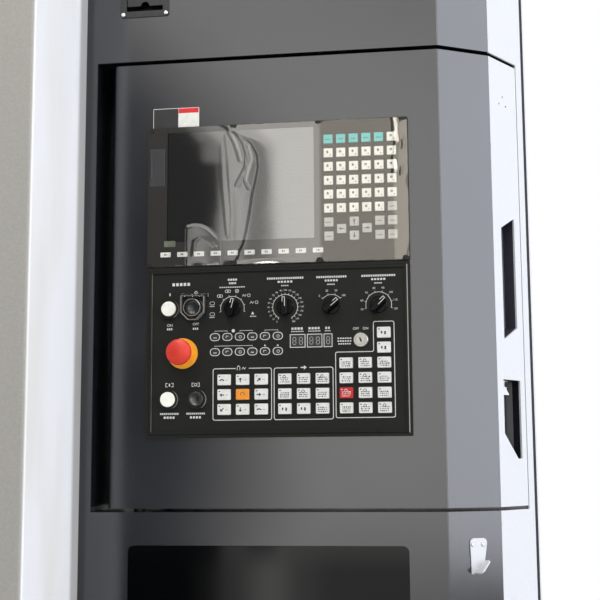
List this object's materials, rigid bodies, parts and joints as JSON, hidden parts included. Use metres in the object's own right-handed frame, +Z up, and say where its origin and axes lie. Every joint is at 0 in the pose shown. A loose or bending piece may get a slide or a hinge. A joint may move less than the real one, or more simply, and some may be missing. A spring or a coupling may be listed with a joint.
{
  "type": "machining center operator station",
  "caption": "Floor-standing operator station of a machining center: control column with door post and swing-out console with display unit, keys, dials and stop button.",
  "frame": {"origin": "bottom centre of the whole part's box, on the floor under the levelling feet", "axes": "+X to the operator's right, +Y from the operator into the column, +Z up"},
  "size_m": [0.764, 0.56, 2.05],
  "materials": {
    "grey_paint": "textured matt",
    "light_paint": "textured matt",
    "white_paint": "satin",
    "frame_steel": "matt",
    "bright_steel": "brushed",
    "black_screws": "blackened",
    "seal": "matt",
    "dark_glass": "glossy",
    "clear_plastic": "glossy",
    "black_plastic": "satin",
    "box_plastic": "matt",
    "panel_plastic": "satin",
    "unit_plastic": "satin",
    "key_plastic": "satin",
    "orange_plastic": "satin",
    "red_plastic": "gloss",
    "yellow_plastic": "satin"
  },
  "bodies": {
    "column": {"front_cover": "grey_paint", "side_cover": "white_paint", "edge_seal": "seal", "side_panel": "white_paint", "back_panel": "light_paint", "door_post": "light_paint", "top_cap": "grey_paint", "base_plate": "frame_steel", "inner_frame": "frame_steel", "levelling_feet": "bright_steel", "bay_liner": "grey_paint", "window_pane": "dark_glass", "window_frame": "frame_steel", "coat_hook": "white_paint", "latch_dish": "black_plastic", "cover_screws": "bright_steel"},
    "console": {"console_shell": "grey_paint", "console_side_cover": "white_paint", "console_rear_cover": "light_paint", "pull_cup": "black_plastic", "pocket_cup": "black_plastic", "pocket_bracket": "white_paint", "pivot_pins": "bright_steel", "mdi_panel": "unit_plastic", "display_glass": "dark_glass", "control_boxes": "box_plastic", "console_screws": "black_screws", "protective_film": "clear_plastic", "op_panel": "panel_plastic", "estop_base": "yellow_plastic", "key_lock_body": "bright_steel"},
    "latch_paddle": {"latch_paddle": "black_plastic"},
    "card_flap": {"card_flap": "unit_plastic"},
    "power_on_button": {"power_on_button": "key_plastic"},
    "power_off_button": {"power_off_button": "black_plastic"},
    "power_off_guard": {"power_off_guard": "clear_plastic"},
    "estop_stem": {"estop_stem": "black_plastic"},
    "estop_head": {"estop_head": "red_plastic"},
    "cycle_start_button": {"cycle_start_button": "key_plastic"},
    "cycle_stop_button": {"cycle_stop_button": "black_plastic"},
    "key_lock_barrel": {"key_lock_barrel": "bright_steel"},
    "mode_knob": {"mode_knob": "black_plastic"},
    "feed_knob": {"feed_knob": "black_plastic"},
    "rapid_knob": {"rapid_knob": "black_plastic"},
    "spindle_knob": {"spindle_knob": "black_plastic"},
    "jog_key_1": {"jog_key_1": "key_plastic"},
    "jog_key_2": {"jog_key_2": "key_plastic"},
    "jog_key_3": {"jog_key_3": "key_plastic"},
    "jog_key_4": {"jog_key_4": "key_plastic"},
    "jog_key_5": {"jog_key_5": "orange_plastic"},
    "jog_key_6": {"jog_key_6": "key_plastic"},
    "jog_key_7": {"jog_key_7": "key_plastic"},
    "jog_key_8": {"jog_key_8": "key_plastic"},
    "jog_key_9": {"jog_key_9": "key_plastic"},
    "function_key_1": {"function_key_1": "key_plastic"},
    "function_key_2": {"function_key_2": "key_plastic"},
    "function_key_3": {"function_key_3": "key_plastic"},
    "function_key_4": {"function_key_4": "key_plastic"},
    "function_key_5": {"function_key_5": "key_plastic"},
    "function_key_6": {"function_key_6": "key_plastic"}
  },
  "joints": [
    {"name": "console_swing", "type": "hinge", "parent": "column", "child": "console", "pos_m": [-0.22, -0.016, 1.3422], "axis": [0, 0, -1], "range_deg": [0, 80]},
    {"name": "latch_lift", "type": "hinge", "parent": "column", "child": "latch_paddle", "pos_m": [-0.2094, -0.0535, 1.86719], "axis": [-1, 0, 0], "range_deg": [0, 30], "stiffness_Nm_per_rad": 0.06, "springref_deg": -20.05},
    {"name": "card_flap_swing", "type": "hinge", "parent": "console", "child": "card_flap", "pos_m": [-0.1739, -0.0594, 1.5177], "axis": [0, 0, 1], "range_deg": [0, 90]},
    {"name": "power_on_press", "type": "slide", "parent": "console", "child": "power_on_button", "axis": [0, 1, 0], "range_m": [0, 0.004], "stiffness_N_per_m": 700},
    {"name": "power_off_press", "type": "slide", "parent": "console", "child": "power_off_button", "axis": [0, 1, 0], "range_m": [0, 0.004], "stiffness_N_per_m": 700},
    {"name": "cycle_start_press", "type": "slide", "parent": "console", "child": "cycle_start_button", "axis": [0, 1, 0], "range_m": [0, 0.004], "stiffness_N_per_m": 700},
    {"name": "cycle_stop_press", "type": "slide", "parent": "console", "child": "cycle_stop_button", "axis": [0, 1, 0], "range_m": [0, 0.004], "stiffness_N_per_m": 700},
    {"name": "guard_lift", "type": "hinge", "parent": "console", "child": "power_off_guard", "pos_m": [-0.12552, -0.0642, 1.31739], "axis": [-1, 0, 0], "range_deg": [0, 100]},
    {"name": "estop_push", "type": "slide", "parent": "console", "child": "estop_stem", "axis": [0, 1, 0], "range_m": [0, 0.0045]},
    {"name": "estop_twist", "type": "hinge", "parent": "estop_stem", "child": "estop_head", "pos_m": [-0.14312, -0.076, 1.22961], "axis": [0, 1, 0], "range_deg": [0, 45]},
    {"name": "mode_turn", "type": "hinge", "parent": "console", "child": "mode_knob", "pos_m": [-0.0674, -0.066, 1.2963], "axis": [0, 1, 0], "range_deg": [-120, 90]},
    {"name": "feed_turn", "type": "hinge", "parent": "console", "child": "feed_knob", "pos_m": [0.0128, -0.066, 1.2963], "axis": [0, 1, 0], "range_deg": [-150, 150]},
    {"name": "rapid_turn", "type": "hinge", "parent": "console", "child": "rapid_knob", "pos_m": [0.0824, -0.066, 1.2963], "axis": [0, 1, 0], "range_deg": [-100, 0]},
    {"name": "spindle_turn", "type": "hinge", "parent": "console", "child": "spindle_knob", "pos_m": [0.1524, -0.066, 1.2963], "axis": [0, 1, 0], "range_deg": [-150, 60]},
    {"name": "key_lock_turn", "type": "hinge", "parent": "console", "child": "key_lock_barrel", "pos_m": [0.1252, -0.061, 1.2448], "axis": [0, 1, 0], "range_deg": [0, 45]},
    {"name": "jog_key_1_press", "type": "slide", "parent": "console", "child": "jog_key_1", "axis": [0, 1, 0], "range_m": [0, 0.0015], "stiffness_N_per_m": 400},
    {"name": "jog_key_2_press", "type": "slide", "parent": "console", "child": "jog_key_2", "axis": [0, 1, 0], "range_m": [0, 0.0015], "stiffness_N_per_m": 400},
    {"name": "jog_key_3_press", "type": "slide", "parent": "console", "child": "jog_key_3", "axis": [0, 1, 0], "range_m": [0, 0.0015], "stiffness_N_per_m": 400},
    {"name": "jog_key_4_press", "type": "slide", "parent": "console", "child": "jog_key_4", "axis": [0, 1, 0], "range_m": [0, 0.0015], "stiffness_N_per_m": 400},
    {"name": "jog_key_5_press", "type": "slide", "parent": "console", "child": "jog_key_5", "axis": [0, 1, 0], "range_m": [0, 0.0015], "stiffness_N_per_m": 400},
    {"name": "jog_key_6_press", "type": "slide", "parent": "console", "child": "jog_key_6", "axis": [0, 1, 0], "range_m": [0, 0.0015], "stiffness_N_per_m": 400},
    {"name": "jog_key_7_press", "type": "slide", "parent": "console", "child": "jog_key_7", "axis": [0, 1, 0], "range_m": [0, 0.0015], "stiffness_N_per_m": 400},
    {"name": "jog_key_8_press", "type": "slide", "parent": "console", "child": "jog_key_8", "axis": [0, 1, 0], "range_m": [0, 0.0015], "stiffness_N_per_m": 400},
    {"name": "jog_key_9_press", "type": "slide", "parent": "console", "child": "jog_key_9", "axis": [0, 1, 0], "range_m": [0, 0.0015], "stiffness_N_per_m": 400},
    {"name": "function_key_1_press", "type": "slide", "parent": "console", "child": "function_key_1", "axis": [0, 1, 0], "range_m": [0, 0.0015], "stiffness_N_per_m": 400},
    {"name": "function_key_2_press", "type": "slide", "parent": "console", "child": "function_key_2", "axis": [0, 1, 0], "range_m": [0, 0.0015], "stiffness_N_per_m": 400},
    {"name": "function_key_3_press", "type": "slide", "parent": "console", "child": "function_key_3", "axis": [0, 1, 0], "range_m": [0, 0.0015], "stiffness_N_per_m": 400},
    {"name": "function_key_4_press", "type": "slide", "parent": "console", "child": "function_key_4", "axis": [0, 1, 0], "range_m": [0, 0.0015], "stiffness_N_per_m": 400},
    {"name": "function_key_5_press", "type": "slide", "parent": "console", "child": "function_key_5", "axis": [0, 1, 0], "range_m": [0, 0.0015], "stiffness_N_per_m": 400},
    {"name": "function_key_6_press", "type": "slide", "parent": "console", "child": "function_key_6", "axis": [0, 1, 0], "range_m": [0, 0.0015], "stiffness_N_per_m": 400}
  ]
}
